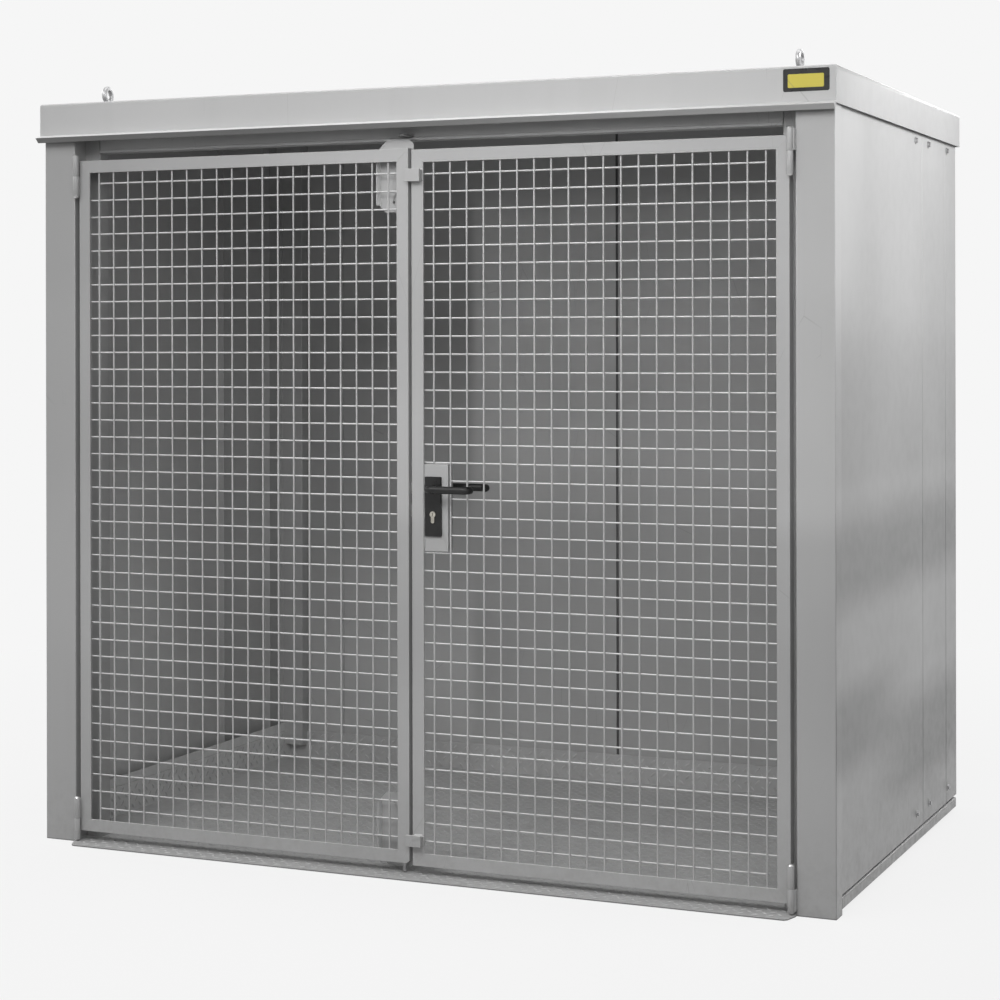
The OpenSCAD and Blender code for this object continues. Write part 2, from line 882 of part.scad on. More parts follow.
// Lock case: pockets for both bolts, the follower and the cam
module lock_case() {
    case_z = [960 - leaf_z, 1130 - leaf_z];
    depth = case_y[1] - case_y[0];
    play = 0.5;
    color(zinc) in_right_leaf() difference() {
        translate([case_u[0], case_y[0], case_z[0]])
            cube([case_u[1] - case_u[0], depth, case_z[1] - case_z[0]]);
        at_lever() translate([0, case_y[0] - 1, 0]) bar_y(follower_d + 2 * fit, depth + 2);
        at_cylinder() translate([0, case_y[0] - 1, 0]) along_y(depth + 2) cylinder_outline(0);
        at_cylinder() translate([0, cam_y[0] - play, 0])
            bar_y(2 * cam_r + 2, cam_y[1] - cam_y[0] + 2 * play);
        translate([0, bolt_y[0] - play, latch_z[0] - leaf_z - play]) cube([
            latch_tail + latch_out + 1,
            bolt_y[1] - bolt_y[0] + 2 * play,
            latch_z[1] - latch_z[0] + 2 * play
        ]);
        translate([0, bolt_y[0] - play, dead_z[0] - leaf_z - play]) cube([
            dead_tail + 1,
            bolt_y[1] - bolt_y[0] + 2 * play,
            dead_z[1] - dead_z[0] + 2 * play
        ]);
    }
}

// Long plate round lever and cylinder, thicker round the lever; y = 0 is its back face
module escutcheon() {
    height = plate_z[1] - plate_z[0];
    head = 72;
    difference() {
        translate([backset - plate_w / 2, -plate_t, plate_z[0] - leaf_z]) {
            translate([0, 2, 0]) along_y(plate_t - 2) rounded_rectangle(plate_w, height, 3);
            translate([1, 0, height - head]) along_y(plate_t)
                rounded_rectangle(plate_w - 2, head - 1, 3);
        }
        at_lever() translate([0, -plate_t - 1, 0]) bar_y(neck_d + 2 * fit, plate_t + 2);
        at_cylinder() translate([0, -plate_t - 1, 0]) along_y(plate_t + 2) cylinder_outline(0);
    }
}

// Turns what is drawn for the front of the lock box so that it serves at its back
module at_back() {
    translate([0, box_y[0] + box_y[1], 0]) mirror([0, 1, 0]) children();
}

module outer_plate() {
    color(black) in_right_leaf() translate([0, box_y[0], 0]) escutcheon();
}

module inner_plate() {
    color(black) in_right_leaf() at_back() translate([0, box_y[0], 0]) escutcheon();
}

// Cylinder body with its bore, cut away in the middle where the cam turns
module cylinder_body() {
    reach = [box_y[0] - plate_t - 1, box_y[1] + plate_t + 1];
    color(brass) in_right_leaf() at_cylinder() difference() {
        translate([0, reach[0], 0]) along_y(reach[1] - reach[0]) cylinder_outline(0);
        translate([0, reach[0] - 1, 0]) bar_y(plug_d + 2 * fit, reach[1] - reach[0] + 2);
        translate([-cam_r, cam_y[0] - 0.5, -cam_r])
            cube([2 * cam_r, cam_y[1] - cam_y[0] + 1, 2 * cam_r]);
    }
}

// Plug with a keyway in each end and the cam that drives the dead bolt
module cylinder_plug() {
    reach = [box_y[0] - plate_t - 1, box_y[1] + plate_t + 1];
    color(brass) in_right_leaf() at_cylinder() difference() {
        union() {
            translate([0, reach[0], 0]) bar_y(plug_d, reach[1] - reach[0]);
            translate([0, cam_y[0], 0]) along_y(cam_y[1] - cam_y[0])
                difference() {
                    union() {
                        circle(d = plug_d + 3, $fn = 48);
                        translate([-4, 0]) square([8, cam_r - 1.4]);
                    }
                    circle(d = plug_d - 2, $fn = 32);
                }
        }
        for (y = [reach[0] - 1, reach[1] - 4])
            translate([-1, y, -4]) cube([2, 5, 8]);
    }
}

// Follower: the disc in the lock case that the spindle turns
module follower() {
    color(steel) in_right_leaf() at_lever() difference() {
        translate([0, case_y[0], 0]) bar_y(follower_d, case_y[1] - case_y[0]);
        translate([-spindle_a / 2, case_y[0] - 1, -spindle_a / 2])
            cube([spindle_a, case_y[1] - case_y[0] + 2, spindle_a]);
    }
}

// Square spindle through follower and levers
module spindle() {
    color(steel) in_right_leaf() at_lever()
        translate([-spindle_a / 2, box_y[0] - spindle_end, -spindle_a / 2])
            cube([spindle_a, box_y[1] - box_y[0] + 2 * spindle_end, spindle_a]);
}

// Quarter bend of the grip in the x-y plane, from the y direction at [0, 0] towards +x
module grip_bend(r, d) {
    translate([r, 0, 0]) rotate([0, 0, 180]) rotate_extrude(angle = 90, $fn = 64)
        translate([r, 0]) circle(d = d, $fn = 32);
}

// Lever: neck, bend, straight grip and a return end that comes back towards the leaf
module lever() {
    neck_bend = 16;
    end_bend = 14;
    grip_y = -grip_reach;
    tip = 124;
    color(black) {
        difference() {
            union() {
                translate([0, grip_y + neck_bend, 0]) bar_y(neck_d, -3 - grip_y - neck_bend);
                translate([0, grip_y + neck_bend, 0]) grip_bend(neck_bend, neck_d);
            }
            translate([-spindle_a / 2, -spindle_end, -spindle_a / 2])
                cube([spindle_a, spindle_end + 2, spindle_a]);
        }
        translate([neck_bend, grip_y, 0]) bar_x(grip_d, tip - end_bend - neck_bend);
        translate([tip, grip_y + end_bend, 0]) mirror([1, 0, 0]) grip_bend(end_bend, grip_d);
        translate([tip, grip_y + end_bend, 0]) bar_y(grip_d, 6);
        translate([tip, grip_y + end_bend + 6, 0]) rotate([-90, 0, 0])
            cylinder(d1 = grip_d, d2 = grip_d - 5, h = 3, $fn = 48);
    }
}

module outer_lever() {
    in_right_leaf() at_lever() translate([0, box_y[0], 0]) lever();
}

module inner_lever() {
    in_right_leaf() at_lever() at_back() translate([0, box_y[0], 0]) lever();
}

// Latch bolt: sloped on the side that meets the other leaf when the doors close
module latch_bolt() {
    depth = bolt_y[1] - bolt_y[0];
    color(steel) in_right_leaf()
        translate([0, bolt_y[0], latch_z[0] - leaf_z]) linear_extrude(latch_z[1] - latch_z[0])
            polygon([
                [latch_tail, 0], [latch_tail, depth], [depth - latch_out, depth],
                [-latch_out, 2], [-latch_out, 0]
            ]);
}

// Dead bolt, drawn back inside the stile at rest
module dead_bolt() {
    color(steel) in_right_leaf()
        translate([1, bolt_y[0], dead_z[0] - leaf_z])
            cube([dead_tail - 1, bolt_y[1] - bolt_y[0], dead_z[1] - dead_z[0]]);
}

floor_plate();
base_rail_left();
base_rail_right();
base_rail_rear();
front_post_left();
front_post_right();
jamb_left();
jamb_right();
header_rail();
bolt_keep();
rear_post_left();
rear_post_right();
wall_left_front();
wall_left_rear();
wall_right_front();
wall_right_rear();
back_panel_left();
back_panel_middle();
back_panel_right();
wall_bolts();
roof_tray();
lifting_eyes();
post_knuckles();
hinge_pins();
right_free_stile();
right_hinge_stile();
right_top_rail();
right_bottom_rail();
right_mesh();
right_knuckles();
right_knuckle_caps();
stop_tabs();
left_free_stile();
left_hinge_stile();
left_top_rail();
left_bottom_rail();
left_mesh();
left_knuckles();
left_knuckle_caps();
bolt_guards();
bolt_guides();
top_bolt();
bottom_bolt();
lock_box();
lock_case();
outer_plate();
inner_plate();
cylinder_body();
cylinder_plug();
follower();
spindle();
outer_lever();
inner_lever();
latch_bolt();
dead_bolt();
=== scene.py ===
import math

import bpy
import numpy as np
from mathutils import Matrix, Vector


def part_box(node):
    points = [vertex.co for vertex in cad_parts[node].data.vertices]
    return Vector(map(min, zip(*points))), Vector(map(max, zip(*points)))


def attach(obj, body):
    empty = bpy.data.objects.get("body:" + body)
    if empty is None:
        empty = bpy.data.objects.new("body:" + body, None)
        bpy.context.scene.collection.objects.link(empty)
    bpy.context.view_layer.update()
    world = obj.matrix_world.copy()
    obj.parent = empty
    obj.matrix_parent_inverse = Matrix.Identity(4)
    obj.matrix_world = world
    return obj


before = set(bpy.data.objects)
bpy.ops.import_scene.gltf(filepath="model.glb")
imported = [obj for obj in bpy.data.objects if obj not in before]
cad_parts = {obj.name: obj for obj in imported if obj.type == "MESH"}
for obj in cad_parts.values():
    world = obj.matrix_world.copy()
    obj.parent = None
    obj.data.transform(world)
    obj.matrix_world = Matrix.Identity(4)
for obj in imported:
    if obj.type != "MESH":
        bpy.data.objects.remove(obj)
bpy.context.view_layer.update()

# The viewpoint: a pinhole camera about six metres in front of the cage and to its right, at
# eye height. The picture was cropped from a larger one, so the lens is shifted down and right.
eye_place = Vector((2.700, -6.430, 1.496))
eye_yaw = math.radians(23.960)
eye_pitch = math.radians(-0.056)
eye_roll = math.radians(-0.116)
focal_px = 2274.9
picture_px = 1000
axis_px = (463.8, 339.2)

look = Vector((
    -math.sin(eye_yaw) * math.cos(eye_pitch),
    math.cos(eye_yaw) * math.cos(eye_pitch),
    math.sin(eye_pitch),
))
level_right = Vector((math.cos(eye_yaw), math.sin(eye_yaw), 0))
level_up = level_right.cross(look)
eye_right = math.cos(eye_roll) * level_right + math.sin(eye_roll) * level_up
eye_up = math.cos(eye_roll) * level_up - math.sin(eye_roll) * level_right
eye_lens = bpy.data.cameras.new("eye")
eye_lens.sensor_fit = "HORIZONTAL"
eye_lens.sensor_width = 36
eye_lens.lens = 36 * focal_px / picture_px
eye_lens.shift_x = 0.5 - axis_px[0] / picture_px
eye_lens.shift_y = axis_px[1] / picture_px - 0.5
eye = bpy.data.objects.new("eye", eye_lens)
eye.matrix_world = Matrix((
    (eye_right.x, eye_up.x, -look.x, eye_place.x),
    (eye_right.y, eye_up.y, -look.y, eye_place.y),
    (eye_right.z, eye_up.z, -look.z, eye_place.z),
    (0, 0, 0, 1),
))
bpy.context.scene.collection.objects.link(eye)
bpy.context.scene.camera = eye
bpy.context.scene.view_settings.view_transform = "Standard"


# The studio: a pale floor and a pale backdrop colour, which camera, mirror and glass see at
# full brightness while the steel is lit by soft lamps on every side and a grey room.
backdrop = (0.9216, 0.9216, 0.9216, 1)
room_light = 0.30
floor_reach = 40.0
lamps = {
    # name: place, aimed at, width and height, spread in degrees, watts
    "front_high": ((-1.0, -3.8, 4.2), (0.0, -0.7, 1.3), (3.0, 2.0), 180, 55),
    "front_up": ((1.6, -3.6, 3.0), (0.7, -0.7, 2.0), (1.5, 1.5), 70, 6.5),
    "front_floor": ((0.0, -4.0, 3.4), (0.0, 0.2, 0.2), (2.5, 1.0), 60, 4.2),
    "side_top": ((2.6, 0.0, 2.9), (1.2, 0.1, 2.05), (1.2, 0.6), 100, 11),
    "left": ((-5.0, 0.0, 3.6), (-1.2, 0.0, 1.2), (3.0, 2.0), 180, 60),
    "back": ((0.5, 5.0, 3.6), (0.0, 0.7, 1.1), (3.0, 2.0), 180, 60),
    "sky": ((0.0, 0.0, 5.5), (0.0, 0.0, 0.0), (5.0, 4.0), 180, 80),
}


def direct_view(nodes):
    """Adds nodes that give 1 to camera, glossy and transmission rays and 0 to the others."""
    path = nodes.new("ShaderNodeLightPath")
    seen = path.outputs["Is Camera Ray"]
    for other in ("Is Glossy Ray", "Is Transmission Ray"):
        larger = nodes.new("ShaderNodeMath")
        larger.operation = "MAXIMUM"
        nodes.id_data.links.new(seen, larger.inputs[0])
        nodes.id_data.links.new(path.outputs[other], larger.inputs[1])
        seen = larger.outputs[0]
    return seen


def studio_world():
    """A world that is the backdrop colour where it is seen and an even grey where it lights."""
    world = bpy.data.worlds.new("studio")
    world.use_nodes = True
    nodes, links = world.node_tree.nodes, world.node_tree.links
    nodes.clear()
    seen = nodes.new("ShaderNodeBackground")
    seen.inputs["Color"].default_value = backdrop
    lighting = nodes.new("ShaderNodeBackground")
    lighting.inputs["Color"].default_value = (1, 1, 1, 1)
    lighting.inputs["Strength"].default_value = room_light
    mix = nodes.new("ShaderNodeMixShader")
    links.new(direct_view(nodes), mix.inputs[0])
    links.new(lighting.outputs[0], mix.inputs[1])
    links.new(seen.outputs[0], mix.inputs[2])
    links.new(mix.outputs[0], nodes.new("ShaderNodeOutputWorld").inputs[0])
    bpy.context.scene.world = world


def studio_floor():
    """A square of floor. Where it is seen, most of its colour is its own light, so that it
    stays as pale as the backdrop, and the rest is lit and takes the cage's shadow. The lit
    share fades out with distance, so that the far floor meets the backdrop unseen."""
    corners = floor_reach * np.array([[-1, -1, 0], [1, -1, 0], [1, 1, 0], [-1, 1, 0]])
    mesh = bpy.data.meshes.new("studio_floor")
    mesh.from_pydata(corners.tolist(), [], [(0, 1, 2, 3)])
    floor = bpy.data.objects.new("studio_floor", mesh)
    bpy.context.scene.collection.objects.link(floor)
    material = bpy.data.materials.new("studio_floor")
    material.use_nodes = True
    nodes, links = material.node_tree.nodes, material.node_tree.links
    nodes.clear()
    lit = nodes.new("ShaderNodeBsdfDiffuse")
    lit.inputs["Color"].default_value = (0.42, 0.42, 0.42, 1)
    seen_lit = nodes.new("ShaderNodeBsdfDiffuse")
    seen_lit.inputs["Color"].default_value = (0.97, 0.97, 0.97, 1)
    glow = nodes.new("ShaderNodeEmission")
    glow.inputs["Color"].default_value = backdrop
    place = nodes.new("ShaderNodeTexCoord")
    far = nodes.new("ShaderNodeVectorMath")
    far.operation = "LENGTH"
    links.new(place.outputs["Object"], far.inputs[0])
    glow_share = nodes.new("ShaderNodeMapRange")
    glow_share.interpolation_type = "SMOOTHSTEP"
    for number, amount in enumerate((1.8, 4.5, 0.90, 1.0), start=1):
        glow_share.inputs[number].default_value = amount
    links.new(far.outputs["Value"], glow_share.inputs[0])
    seen = nodes.new("ShaderNodeMixShader")
    links.new(glow_share.outputs[0], seen.inputs[0])
    links.new(seen_lit.outputs[0], seen.inputs[1])
    links.new(glow.outputs[0], seen.inputs[2])
    mix = nodes.new("ShaderNodeMixShader")
    links.new(direct_view(nodes), mix.inputs[0])
    links.new(lit.outputs[0], mix.inputs[1])
    links.new(seen.outputs[0], mix.inputs[2])
    links.new(mix.outputs[0], nodes.new("ShaderNodeOutputMaterial").inputs[0])
    mesh.materials.append(material)


def studio_lamp(name, place, target, size, spread, watts):
    """A rectangular soft lamp at place that faces target, its light held to the spread."""
    light = bpy.data.lights.new(name, "AREA")
    light.shape = "RECTANGLE"
    light.size, light.size_y = size
    light.energy = watts
    light.spread = math.radians(spread)
    lamp = bpy.data.objects.new(name, light)
    aim = Vector(target) - Vector(place)
    turn = aim.to_track_quat("-Z", "Y").to_matrix().to_4x4()
    lamp.matrix_world = Matrix.Translation(place) @ turn
    bpy.context.scene.collection.objects.link(lamp)


studio_world()
studio_floor()
for lamp_name, lamp_values in lamps.items():
    studio_lamp(lamp_name, *lamp_values)


# Coated sheet steel: roof tray, posts, jambs, header and the folded wall panels. Sheets are
# cut, folded on a press brake and powder coated light grey, which leaves rounded arrises, a
# faint orange peel, and over time rain streaks, dust low down and small dark scratches.
coat_grey = (0.503, 0.503, 0.503)
dust_grey = (0.36, 0.355, 0.345)


def group_socket(group, name, kind, value=None, out=False):
    """Adds one named input or output to a shader node group."""
    sides = {True: "OUTPUT", False: "INPUT"}
    socket = group.interface.new_socket(name=name, in_out=sides[out], socket_type=kind)
    if value is not None:
        socket.default_value = value


def weathered_coat_group():
    """Shader group of the coating: colour with broad tone changes, streaks that run down,
    dust that thins out with height, and scratches; a roughness; and a height for the bump."""
    group = bpy.data.node_groups.new("weathered_coat", "ShaderNodeTree")
    for name, kind, value in (
        ("Coat Color", "NodeSocketColor", (*coat_grey, 1)),
        ("Dust Color", "NodeSocketColor", (*dust_grey, 1)),
        ("Gloss Roughness", "NodeSocketFloat", 0.34),
        ("Tone Change", "NodeSocketFloat", 0.05),
        ("Streaks", "NodeSocketFloat", 0.12),
        ("Dust Height", "NodeSocketFloat", 0.30),
        ("Dust", "NodeSocketFloat", 0.35),
        ("Scratches", "NodeSocketFloat", 0.25),
        ("Waviness", "NodeSocketFloat", 0.0),
        ("Orange Peel", "NodeSocketFloat", 1.0),
    ):
        group_socket(group, name, kind, value)
    for name, kind in (
        ("Color", "NodeSocketColor"),
        ("Roughness", "NodeSocketFloat"),
        ("Height", "NodeSocketFloat"),
    ):
        group_socket(group, name, kind, out=True)
    nodes, links = group.nodes, group.links
    inner = nodes.new("NodeGroupInput")
    outer = nodes.new("NodeGroupOutput")
    place = nodes.new("ShaderNodeTexCoord").outputs["Object"]

    def noise(scale, stretch=(1, 1, 1), detail=3.0, rough=0.5):
        turned = nodes.new("ShaderNodeMapping")
        turned.inputs["Scale"].default_value = stretch
        links.new(place, turned.inputs["Vector"])
        texture = nodes.new("ShaderNodeTexNoise")
        texture.inputs["Scale"].default_value = scale
        texture.inputs["Detail"].default_value = detail
        texture.inputs["Roughness"].default_value = rough
        links.new(turned.outputs[0], texture.inputs["Vector"])
        return texture.outputs["Fac"]

    def reshape(value, low, high, to_low=0.0, to_high=1.0):
        ranged = nodes.new("ShaderNodeMapRange")
        ranged.interpolation_type = "SMOOTHSTEP"
        for number, amount in enumerate((low, high, to_low, to_high), start=1):
            ranged.inputs[number].default_value = amount
        links.new(value, ranged.inputs[0])
        return ranged.outputs[0]

    def combine(operation, first, second):
        sum_node = nodes.new("ShaderNodeMath")
        sum_node.operation = operation
        for number, part in enumerate((first, second)):
            if isinstance(part, float):
                sum_node.inputs[number].default_value = part
            else:
                links.new(part, sum_node.inputs[number])
        return sum_node.outputs[0]

    def blend_color(factor, first, second):
        mix = nodes.new("ShaderNodeMix")
        mix.data_type = "RGBA"
        links.new(factor, mix.inputs[0])
        links.new(first, mix.inputs[6])
        links.new(second, mix.inputs[7])
        return mix.outputs[2]

    clouds = reshape(noise(1.7, detail=2.0), 0.3, 0.7, -1.0, 1.0)
    runs = reshape(noise(9.0, (1, 1, 0.06), detail=3.0), 0.52, 0.72)
    fine_runs = reshape(noise(60.0, (1, 1, 0.05), detail=1.0), 0.55, 0.8)
    apart = nodes.new("ShaderNodeSeparateXYZ")
    links.new(place, apart.inputs[0])
    lowness = nodes.new("ShaderNodeMapRange")
    lowness.inputs[3].default_value = 1.0
    lowness.inputs[4].default_value = 0.0
    links.new(apart.outputs["Z"], lowness.inputs[0])
    links.new(inner.outputs["Dust Height"], lowness.inputs[2])
    grains = reshape(noise(38.0, detail=3.0, rough=0.65), 0.35, 0.75)
    dust = combine("MULTIPLY", combine("MULTIPLY", lowness.outputs[0], grains),
                   inner.outputs["Dust"])
    specks = nodes.new("ShaderNodeTexVoronoi")
    specks.feature = "DISTANCE_TO_EDGE"
    specks.inputs["Scale"].default_value = 11.0
    specks.inputs["Randomness"].default_value = 1.0
    bent = nodes.new("ShaderNodeMapping")
    bent.inputs["Scale"].default_value = (1.0, 1.0, 0.28)
    bent.inputs["Rotation"].default_value = (0.5, 0.35, 0.0)
    links.new(place, bent.inputs["Vector"])
    links.new(bent.outputs[0], specks.inputs["Vector"])
    lines = reshape(specks.outputs["Distance"], 0.0, 0.006, 1.0, 0.0)
    rare = reshape(noise(5.0, detail=1.0), 0.60, 0.66)
    scratch = combine("MULTIPLY", combine("MULTIPLY", lines, rare), inner.outputs["Scratches"])

    tone = combine("MULTIPLY", clouds, inner.outputs["Tone Change"])
    run_mask = combine("MULTIPLY", combine("MAXIMUM", runs, combine("MULTIPLY", fine_runs, 0.2)),
                       inner.outputs["Streaks"])
    brightness = nodes.new("ShaderNodeHueSaturation")
    links.new(combine("ADD", combine("SUBTRACT", tone, combine("MULTIPLY", run_mask, 0.6)), 1.0),
              brightness.inputs["Value"])
    links.new(inner.outputs["Coat Color"], brightness.inputs["Color"])
    dusty = blend_color(dust, brightness.outputs[0], inner.outputs["Dust Color"])
    dark = nodes.new("ShaderNodeRGB")
    dark.outputs[0].default_value = (0.16, 0.155, 0.15, 1)
    links.new(blend_color(scratch, dusty, dark.outputs[0]), outer.inputs["Color"])

    dulled = combine("ADD", combine("MULTIPLY", dust, 0.45), combine("MULTIPLY", run_mask, 0.35))
    spots = combine("MULTIPLY", reshape(noise(24.0, detail=2.0), 0.35, 0.7, -1.0, 1.0), 0.03)
    links.new(combine("ADD", combine("ADD", inner.outputs["Gloss Roughness"], dulled), spots),
              outer.inputs["Roughness"])

    peel = combine("MULTIPLY", combine("MULTIPLY", noise(420.0, detail=0.0), 0.00004),
                   inner.outputs["Orange Peel"])
    waves = combine("MULTIPLY", noise(3.2, (1.0, 1.0, 0.35), detail=0.0), inner.outputs["Waviness"])
    links.new(combine("ADD", peel, waves), outer.inputs["Height"])
    return group


weathered_coat = weathered_coat_group()


def coated_steel(name, color=coat_grey, shine=0.4, **amounts):
    """Material of coated steel: the weathered coat on a Principled shader. The keyword
    amounts set the group's inputs, with underscores for spaces."""
    material = bpy.data.materials.new(name)
    material.use_nodes = True
    nodes, links = material.node_tree.nodes, material.node_tree.links
    skin = nodes["Principled BSDF"]
    skin.inputs["Specular IOR Level"].default_value = shine
    finish = nodes.new("ShaderNodeGroup")
    finish.node_tree = weathered_coat
    finish.inputs["Coat Color"].default_value = (*color, 1)
    for words, amount in amounts.items():
        finish.inputs[words.replace("_", " ").title()].default_value = amount
    bump = nodes.new("ShaderNodeBump")
    bump.inputs["Strength"].default_value = 1.0
    bump.inputs["Distance"].default_value = 1.0
    links.new(finish.outputs["Color"], skin.inputs["Base Color"])
    links.new(finish.outputs["Roughness"], skin.inputs["Roughness"])
    links.new(finish.outputs["Height"], bump.inputs["Height"])
    links.new(bump.outputs[0], skin.inputs["Normal"])
    return material


def shade_region(material, strength, *ramps):
    """Multiplies a material's colour by strength where all the ramps reach 1. A ramp is made by
    at() or facing()."""
    nodes, links = material.node_tree.nodes, material.node_tree.links
    skin = nodes["Principled BSDF"]
    mask = None
    for measured, axis, none, full in ramps:
        apart = nodes.new("ShaderNodeSeparateXYZ")
        links.new(nodes.new("ShaderNodeTexCoord").outputs[measured], apart.inputs[0])
        ramp = nodes.new("ShaderNodeMapRange")
        ramp.interpolation_type = "SMOOTHSTEP"
        ramp.inputs[1].default_value = none
        ramp.inputs[2].default_value = full
        links.new(apart.outputs[axis], ramp.inputs[0])
        if mask is not None:
            links.new(mask, ramp.inputs[4])
        mask = ramp.outputs[0]
    factor = nodes.new("ShaderNodeMath")
    factor.operation = "MULTIPLY_ADD"
    links.new(mask, factor.inputs[0])
    factor.inputs[1].default_value = strength - 1
    factor.inputs[2].default_value = 1
    tone = nodes.new("ShaderNodeHueSaturation")
    links.new(factor.outputs[0], tone.inputs["Value"])
    links.new(skin.inputs["Base Color"].links[0].from_socket, tone.inputs["Color"])
    links.new(tone.outputs[0], skin.inputs["Base Color"])


def at(axis, none, full):
    """Ramp over the place in metres: 0 where the axis reads none and 1 where it reads full."""
    return "Object", axis, none, full


def facing(axis, none, full):
    """Ramp over the way the surface faces, read on one axis of its normal."""
    return "Normal", axis, none, full


def seam(axis, middle, half, soft):
    """Two ramps that are 1 within half of the middle and fall off over soft on either side."""
    return (at(axis, middle - half - soft, middle - half),
            at(axis, middle + half + soft, middle + half))


def dress(material, arris, *names):
    """Gives solids their material and, with an arris, rounds their sharp edges by that radius."""
    for name in names:
        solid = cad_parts[name]
        solid.data.materials.clear()
        solid.data.materials.append(material)
        if arris > 0:
            weld = solid.modifiers.new("close_seams", "WELD")
            weld.merge_threshold = 0.00002
            bevel = solid.modifiers.new("arris", "BEVEL")
            bevel.width = arris
            bevel.segments = 2
            bevel.limit_method = "ANGLE"
            bevel.angle_limit = math.radians(35)
            bevel.harden_normals = True


roof_coat = coated_steel("roof_coat", color=(0.533, 0.533, 0.533), Streaks=0.04, Dust=0.0,
                         Tone_Change=0.02)
post_coat = coated_steel("post_coat", Streaks=0.04, Dust=0.35, Dust_Height=0.25,
                         Tone_Change=0.03)
wall_coat = coated_steel("wall_coat", Gloss_Roughness=0.34, Streaks=0.02, Waviness=0.0002,
                         Dust=0.25, Dust_Height=0.5, Scratches=0.1, shine=0.25)
inside_coat = coated_steel("inside_coat", color=(0.54, 0.54, 0.54), Gloss_Roughness=0.42,
                           Streaks=0.05, Waviness=0.0005, Dust=0.2)
rail_coat = coated_steel("rail_coat", color=(0.473, 0.473, 0.473), Streaks=0.02, Dust=0.5,
                         Dust_Height=0.2)
# Painted light: the header's coat is a lighter copy of the grey, to lift it in the roof's shade.
header_lit_coat = coated_steel("header_lit_coat", color=(0.57, 0.57, 0.57), Streaks=0.04, Dust=0.0)
# Painted shade: the keep's coat is a dark copy of the grey, for the keep in shade under the header.
keep_shade_coat = coated_steel("keep_shade_coat", color=(0.20, 0.20, 0.20), Streaks=0.04, Dust=0.0)

# Painted light and shade on the roof tray: the drip rim's downward face is painted darker as
# shade, most towards its left end, and its upward face gets a painted highlight that fades out
# towards the right end. The right side fascia is painted a little darker in its middle, its
# rounded top edge is painted darker to damp its highlight, and the front fascia is painted
# lighter towards the left.
rim_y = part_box("roof_tray")[0].y + 0.024
on_rim = at("Y", rim_y, rim_y - 0.003)
shade_region(roof_coat, 0.42, facing("Z", -0.2, -0.6), on_rim, at("X", 1.4, -0.6))
shade_region(roof_coat, 1.5, facing("Z", 0.5, 0.8), on_rim, at("X", 1.4, 0.5))
shade_region(roof_coat, 0.87, facing("X", 0.3, 0.8), at("Y", -0.6, -0.1), at("Y", 0.7, 0.2))
shade_region(roof_coat, 0.5, facing("Z", 0.1, 0.5), facing("X", 0.1, 0.4))
shade_region(roof_coat, 1.08, facing("Y", -0.5, -0.9), at("X", 0.0, -0.8))

# Painted shade: a thin dark band along the foot of the posts and the base rails, where they
# stand on the ground. The tops of the base rails get a painted highlight, and the rail inside
# the left wall is painted lighter.
shade_region(post_coat, 0.5, at("Z", 0.004, 0.002))
shade_region(rail_coat, 0.5, at("Z", 0.018, 0.016))
shade_region(rail_coat, 1.4, facing("Z", 0.3, 0.8))
shade_region(rail_coat, 1.7, facing("X", 0.5, 0.9), at("X", -1.0, -1.05))

# Painted reflections: soft bands that glossy sheets show from their surroundings, painted into
# the colour. The right wall and post have two dark bands, of which the lower one sinks to the
# rear, a dull zone above them and a bright upper front corner.
faces_right = facing("X", 0.5, 0.9)
painted_reflection_bands = (
    (0.58, at("Z", 0.72, 0.86), at("Z", 1.10, 0.93)),
    (0.58, at("Z", 0.30, 0.42), at("Z", 0.63, 0.51), at("Y", 0.2, -0.45)),
    (0.58, at("Z", 0.13, 0.25), at("Z", 0.52, 0.37), at("Y", -0.45, 0.2)),
    (0.87, at("Z", 1.05, 1.15), at("Z", 1.6, 1.4)),
    (1.35, at("Z", 1.2, 1.8), at("Y", -0.25, -0.7)),
)
for sheet_coat in (wall_coat, post_coat):
    for band_tone, *band_ramps in painted_reflection_bands:
        shade_region(sheet_coat, band_tone, faces_right, at("X", 1.0, 1.1), *band_ramps)

# Painted light and shade inside: the left wall is painted bright low down at the front. The back
# panels are painted as lit one way to the left of a soft step and another way to the right of it.
shade_region(wall_coat, 1.50, faces_right, at("X", -1.0, -1.1), at("Z", 1.5, 0.7),
             at("Y", 0.45, -0.55))
faces_front = facing("Y", -0.3, -0.7)
left_back = (faces_front, at("X", -0.43, -0.48))
right_back = (faces_front, at("X", -0.48, -0.43))
shade_region(inside_coat, 0.72, *left_back, at("Z", 1.85, 1.45), at("Z", 0.3, 0.9))
shade_region(inside_coat, 1.50, *right_back, at("Z", 1.25, 1.65), at("Z", 2.05, 1.88))
shade_region(inside_coat, 0.77, *right_back, at("Z", 1.20, 0.80), at("Z", -0.2, 0.45))

# Painted shade and reflections on the posts: the left post is painted darker upwards. The right
# post is painted brightest in the middle and duller above and below, and its front a little
# darker high up.
on_right_post = at("X", 0.5, 1.0)
shade_region(post_coat, 0.87, at("X", 0.3, -0.8), at("Z", 0.7, 1.5))
shade_region(post_coat, 1.06, on_right_post, at("Z", 0.96, 1.08), at("Z", 1.9, 1.55))
shade_region(post_coat, 0.91, on_right_post, at("Z", 1.04, 0.94), at("Z", 0.3, 0.75))
shade_region(post_coat, 0.95, facing("Y", -0.5, -0.9), on_right_post, at("Z", 1.3, 1.6))

# Painted shade along the seams between panels: a dark line where they meet.
shade_region(inside_coat, 0.12, faces_front, *seam("X", 0.0725, 0.003, 0.002))
shade_region(wall_coat, 0.85, *seam("Y", 0.29175, 0.001, 0.001))
shade_region(wall_coat, 0.55, *seam("Y", 0.61275, 0.001, 0.001))

